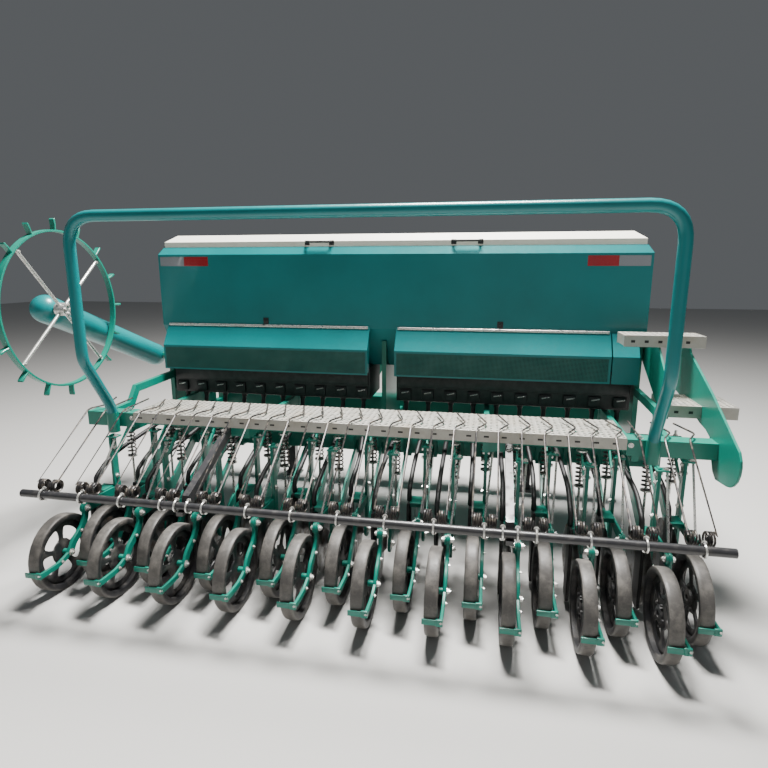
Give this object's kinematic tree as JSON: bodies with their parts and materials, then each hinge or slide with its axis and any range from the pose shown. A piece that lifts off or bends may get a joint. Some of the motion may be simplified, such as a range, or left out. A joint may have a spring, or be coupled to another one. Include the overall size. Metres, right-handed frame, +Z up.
{
  "type": "seed drill",
  "caption": "Tractor-mounted seed drill with a long hopper, disc openers and press wheels in two rows, a rear walkway with guard rail, a folded tine harrow and a raised lugged drive wheel",
  "frame": {"origin": "middle of the footprint of the whole machine, on the ground", "axes": "+X across the machine to its right side as seen from behind, +Y the way it travels, +Z up"},
  "size_m": [3.438, 1.967, 1.766],
  "materials": {
    "cream_lid": "satin",
    "disc_steel": "satin",
    "galvanised": "matte",
    "graphite_paint": "satin",
    "graphite_plastic": "matte",
    "green_paint": "satin",
    "teal_paint": "satin",
    "wheel_rubber": "matte"
  },
  "bodies": {
    "frame": {"main_frame": "green_paint", "opener_gang": "green_paint", "hopper": "teal_paint", "metering_row_left": "graphite_plastic", "metering_row_right": "graphite_plastic", "walkway": "galvanised", "guard_rail": "teal_paint", "access_steps": "green_paint", "headstock": "green_paint", "harrow_strut_left": "graphite_paint", "harrow_strut_right": "graphite_paint"},
    "press_wheel_01": {"press_wheel_01": "wheel_rubber"},
    "press_wheel_02": {"press_wheel_02": "wheel_rubber"},
    "press_wheel_03": {"press_wheel_03": "wheel_rubber"},
    "press_wheel_04": {"press_wheel_04": "wheel_rubber"},
    "press_wheel_05": {"press_wheel_05": "wheel_rubber"},
    "press_wheel_06": {"press_wheel_06": "wheel_rubber"},
    "press_wheel_07": {"press_wheel_07": "wheel_rubber"},
    "press_wheel_08": {"press_wheel_08": "wheel_rubber"},
    "press_wheel_09": {"press_wheel_09": "wheel_rubber"},
    "press_wheel_10": {"press_wheel_10": "wheel_rubber"},
    "press_wheel_11": {"press_wheel_11": "wheel_rubber"},
    "press_wheel_12": {"press_wheel_12": "wheel_rubber"},
    "press_wheel_13": {"press_wheel_13": "wheel_rubber"},
    "press_wheel_14": {"press_wheel_14": "wheel_rubber"},
    "press_wheel_15": {"press_wheel_15": "wheel_rubber"},
    "press_wheel_16": {"press_wheel_16": "wheel_rubber"},
    "press_wheel_17": {"press_wheel_17": "wheel_rubber"},
    "press_wheel_18": {"press_wheel_18": "wheel_rubber"},
    "press_wheel_19": {"press_wheel_19": "wheel_rubber"},
    "press_wheel_20": {"press_wheel_20": "wheel_rubber"},
    "opener_disc_01": {"opener_disc_01": "disc_steel"},
    "opener_disc_02": {"opener_disc_02": "disc_steel"},
    "opener_disc_03": {"opener_disc_03": "disc_steel"},
    "opener_disc_04": {"opener_disc_04": "disc_steel"},
    "opener_disc_05": {"opener_disc_05": "disc_steel"},
    "opener_disc_06": {"opener_disc_06": "disc_steel"},
    "opener_disc_07": {"opener_disc_07": "disc_steel"},
    "opener_disc_08": {"opener_disc_08": "disc_steel"},
    "opener_disc_09": {"opener_disc_09": "disc_steel"},
    "opener_disc_10": {"opener_disc_10": "disc_steel"},
    "opener_disc_11": {"opener_disc_11": "disc_steel"},
    "opener_disc_12": {"opener_disc_12": "disc_steel"},
    "opener_disc_13": {"opener_disc_13": "disc_steel"},
    "opener_disc_14": {"opener_disc_14": "disc_steel"},
    "opener_disc_15": {"opener_disc_15": "disc_steel"},
    "opener_disc_16": {"opener_disc_16": "disc_steel"},
    "opener_disc_17": {"opener_disc_17": "disc_steel"},
    "opener_disc_18": {"opener_disc_18": "disc_steel"},
    "opener_disc_19": {"opener_disc_19": "disc_steel"},
    "opener_disc_20": {"opener_disc_20": "disc_steel"},
    "lid": {"hopper_lid": "cream_lid"},
    "metering_cover_left": {"metering_cover_left": "teal_paint"},
    "metering_cover_right": {"metering_cover_right": "teal_paint"},
    "harrow": {"harrow_bar": "graphite_paint"},
    "drive_arm": {"drive_arm": "teal_paint"},
    "drive_wheel": {"drive_wheel": "green_paint"},
    "parking_stand_left": {"parking_stand_left": "graphite_paint"},
    "parking_stand_right": {"parking_stand_right": "graphite_paint"}
  },
  "joints": [
    {"name": "press_wheel_01_spin", "type": "hinge", "parent": "frame", "child": "press_wheel_01", "pos_m": [-1.351, -0.7815, 0.182], "axis": [1, 0, 0], "continuous": true},
    {"name": "press_wheel_02_spin", "type": "hinge", "parent": "frame", "child": "press_wheel_02", "pos_m": [-1.201, -0.6415, 0.182], "axis": [1, 0, 0], "continuous": true},
    {"name": "press_wheel_03_spin", "type": "hinge", "parent": "frame", "child": "press_wheel_03", "pos_m": [-1.051, -0.7815, 0.182], "axis": [1, 0, 0], "continuous": true},
    {"name": "press_wheel_04_spin", "type": "hinge", "parent": "frame", "child": "press_wheel_04", "pos_m": [-0.901, -0.6415, 0.182], "axis": [1, 0, 0], "continuous": true},
    {"name": "press_wheel_05_spin", "type": "hinge", "parent": "frame", "child": "press_wheel_05", "pos_m": [-0.751, -0.7815, 0.182], "axis": [1, 0, 0], "continuous": true},
    {"name": "press_wheel_06_spin", "type": "hinge", "parent": "frame", "child": "press_wheel_06", "pos_m": [-0.601, -0.6415, 0.182], "axis": [1, 0, 0], "continuous": true},
    {"name": "press_wheel_07_spin", "type": "hinge", "parent": "frame", "child": "press_wheel_07", "pos_m": [-0.451, -0.7815, 0.182], "axis": [1, 0, 0], "continuous": true},
    {"name": "press_wheel_08_spin", "type": "hinge", "parent": "frame", "child": "press_wheel_08", "pos_m": [-0.301, -0.6415, 0.182], "axis": [1, 0, 0], "continuous": true},
    {"name": "press_wheel_09_spin", "type": "hinge", "parent": "frame", "child": "press_wheel_09", "pos_m": [-0.151, -0.7815, 0.182], "axis": [1, 0, 0], "continuous": true},
    {"name": "press_wheel_10_spin", "type": "hinge", "parent": "frame", "child": "press_wheel_10", "pos_m": [-0.001, -0.6415, 0.182], "axis": [1, 0, 0], "continuous": true},
    {"name": "press_wheel_11_spin", "type": "hinge", "parent": "frame", "child": "press_wheel_11", "pos_m": [0.149, -0.7815, 0.182], "axis": [1, 0, 0], "continuous": true},
    {"name": "press_wheel_12_spin", "type": "hinge", "parent": "frame", "child": "press_wheel_12", "pos_m": [0.299, -0.6415, 0.182], "axis": [1, 0, 0], "continuous": true},
    {"name": "press_wheel_13_spin", "type": "hinge", "parent": "frame", "child": "press_wheel_13", "pos_m": [0.449, -0.7815, 0.182], "axis": [1, 0, 0], "continuous": true},
    {"name": "press_wheel_14_spin", "type": "hinge", "parent": "frame", "child": "press_wheel_14", "pos_m": [0.599, -0.6415, 0.182], "axis": [1, 0, 0], "continuous": true},
    {"name": "press_wheel_15_spin", "type": "hinge", "parent": "frame", "child": "press_wheel_15", "pos_m": [0.749, -0.7815, 0.182], "axis": [1, 0, 0], "continuous": true},
    {"name": "press_wheel_16_spin", "type": "hinge", "parent": "frame", "child": "press_wheel_16", "pos_m": [0.899, -0.6415, 0.182], "axis": [1, 0, 0], "continuous": true},
    {"name": "press_wheel_17_spin", "type": "hinge", "parent": "frame", "child": "press_wheel_17", "pos_m": [1.049, -0.7815, 0.182], "axis": [1, 0, 0], "continuous": true},
    {"name": "press_wheel_18_spin", "type": "hinge", "parent": "frame", "child": "press_wheel_18", "pos_m": [1.199, -0.6415, 0.182], "axis": [1, 0, 0], "continuous": true},
    {"name": "press_wheel_19_spin", "type": "hinge", "parent": "frame", "child": "press_wheel_19", "pos_m": [1.349, -0.7815, 0.182], "axis": [1, 0, 0], "continuous": true},
    {"name": "press_wheel_20_spin", "type": "hinge", "parent": "frame", "child": "press_wheel_20", "pos_m": [1.499, -0.6415, 0.182], "axis": [1, 0, 0], "continuous": true},
    {"name": "opener_disc_01_spin", "type": "hinge", "parent": "frame", "child": "opener_disc_01", "pos_m": [-1.351, -0.4115, 0.182], "axis": [0.9962, 0.0872, 0], "continuous": true},
    {"name": "opener_disc_02_spin", "type": "hinge", "parent": "frame", "child": "opener_disc_02", "pos_m": [-1.201, -0.2715, 0.182], "axis": [0.9962, 0.0872, 0], "continuous": true},
    {"name": "opener_disc_03_spin", "type": "hinge", "parent": "frame", "child": "opener_disc_03", "pos_m": [-1.051, -0.4115, 0.182], "axis": [0.9962, 0.0872, 0], "continuous": true},
    {"name": "opener_disc_04_spin", "type": "hinge", "parent": "frame", "child": "opener_disc_04", "pos_m": [-0.901, -0.2715, 0.182], "axis": [0.9962, 0.0872, 0], "continuous": true},
    {"name": "opener_disc_05_spin", "type": "hinge", "parent": "frame", "child": "opener_disc_05", "pos_m": [-0.751, -0.4115, 0.182], "axis": [0.9962, 0.0872, 0], "continuous": true},
    {"name": "opener_disc_06_spin", "type": "hinge", "parent": "frame", "child": "opener_disc_06", "pos_m": [-0.601, -0.2715, 0.182], "axis": [0.9962, 0.0872, 0], "continuous": true},
    {"name": "opener_disc_07_spin", "type": "hinge", "parent": "frame", "child": "opener_disc_07", "pos_m": [-0.451, -0.4115, 0.182], "axis": [0.9962, 0.0872, 0], "continuous": true},
    {"name": "opener_disc_08_spin", "type": "hinge", "parent": "frame", "child": "opener_disc_08", "pos_m": [-0.301, -0.2715, 0.182], "axis": [0.9962, 0.0872, 0], "continuous": true},
    {"name": "opener_disc_09_spin", "type": "hinge", "parent": "frame", "child": "opener_disc_09", "pos_m": [-0.151, -0.4115, 0.182], "axis": [0.9962, 0.0872, 0], "continuous": true},
    {"name": "opener_disc_10_spin", "type": "hinge", "parent": "frame", "child": "opener_disc_10", "pos_m": [-0.001, -0.2715, 0.182], "axis": [0.9962, 0.0872, 0], "continuous": true},
    {"name": "opener_disc_11_spin", "type": "hinge", "parent": "frame", "child": "opener_disc_11", "pos_m": [0.149, -0.4115, 0.182], "axis": [0.9962, 0.0872, 0], "continuous": true},
    {"name": "opener_disc_12_spin", "type": "hinge", "parent": "frame", "child": "opener_disc_12", "pos_m": [0.299, -0.2715, 0.182], "axis": [0.9962, 0.0872, 0], "continuous": true},
    {"name": "opener_disc_13_spin", "type": "hinge", "parent": "frame", "child": "opener_disc_13", "pos_m": [0.449, -0.4115, 0.182], "axis": [0.9962, 0.0872, 0], "continuous": true},
    {"name": "opener_disc_14_spin", "type": "hinge", "parent": "frame", "child": "opener_disc_14", "pos_m": [0.599, -0.2715, 0.182], "axis": [0.9962, 0.0872, 0], "continuous": true},
    {"name": "opener_disc_15_spin", "type": "hinge", "parent": "frame", "child": "opener_disc_15", "pos_m": [0.749, -0.4115, 0.182], "axis": [0.9962, 0.0872, 0], "continuous": true},
    {"name": "opener_disc_16_spin", "type": "hinge", "parent": "frame", "child": "opener_disc_16", "pos_m": [0.899, -0.2715, 0.182], "axis": [0.9962, 0.0872, 0], "continuous": true},
    {"name": "opener_disc_17_spin", "type": "hinge", "parent": "frame", "child": "opener_disc_17", "pos_m": [1.049, -0.4115, 0.182], "axis": [0.9962, 0.0872, 0], "continuous": true},
    {"name": "opener_disc_18_spin", "type": "hinge", "parent": "frame", "child": "opener_disc_18", "pos_m": [1.199, -0.2715, 0.182], "axis": [0.9962, 0.0872, 0], "continuous": true},
    {"name": "opener_disc_19_spin", "type": "hinge", "parent": "frame", "child": "opener_disc_19", "pos_m": [1.349, -0.4115, 0.182], "axis": [0.9962, 0.0872, 0], "continuous": true},
    {"name": "opener_disc_20_spin", "type": "hinge", "parent": "frame", "child": "opener_disc_20", "pos_m": [1.499, -0.2715, 0.182], "axis": [0.9962, 0.0872, 0], "continuous": true},
    {"name": "lid_hinge", "type": "hinge", "parent": "frame", "child": "lid", "pos_m": [0.074, 0.6535, 1.6443], "axis": [-1, 0, 0], "range_deg": [0, 95]},
    {"name": "metering_cover_left_hinge", "type": "hinge", "parent": "frame", "child": "metering_cover_left", "pos_m": [-0.626, 0.095, 1.194], "axis": [-1, 0, 0], "range_deg": [0, 120]},
    {"name": "metering_cover_right_hinge", "type": "hinge", "parent": "frame", "child": "metering_cover_right", "pos_m": [0.6915, 0.095, 1.194], "axis": [-1, 0, 0], "range_deg": [0, 120]},
    {"name": "harrow_fold", "type": "hinge", "parent": "frame", "child": "harrow", "pos_m": [0.074, -0.9515, 0.551], "axis": [1, 0, 0], "range_deg": [0, 200]},
    {"name": "drive_arm_lift", "type": "hinge", "parent": "frame", "child": "drive_arm", "pos_m": [-1.571, 0.5535, 0.93], "axis": [1, 0, 0], "range_deg": [0, 50]},
    {"name": "drive_wheel_spin", "type": "hinge", "parent": "drive_arm", "child": "drive_wheel", "pos_m": [-1.546, -0.3715, 1.31], "axis": [1, 0, 0], "continuous": true},
    {"name": "parking_stand_left_slide", "type": "slide", "parent": "frame", "child": "parking_stand_left", "axis": [0, 0, 1], "range_m": [0, 0.25]},
    {"name": "parking_stand_right_slide", "type": "slide", "parent": "frame", "child": "parking_stand_right", "axis": [0, 0, 1], "range_m": [0, 0.25]}
  ]
}
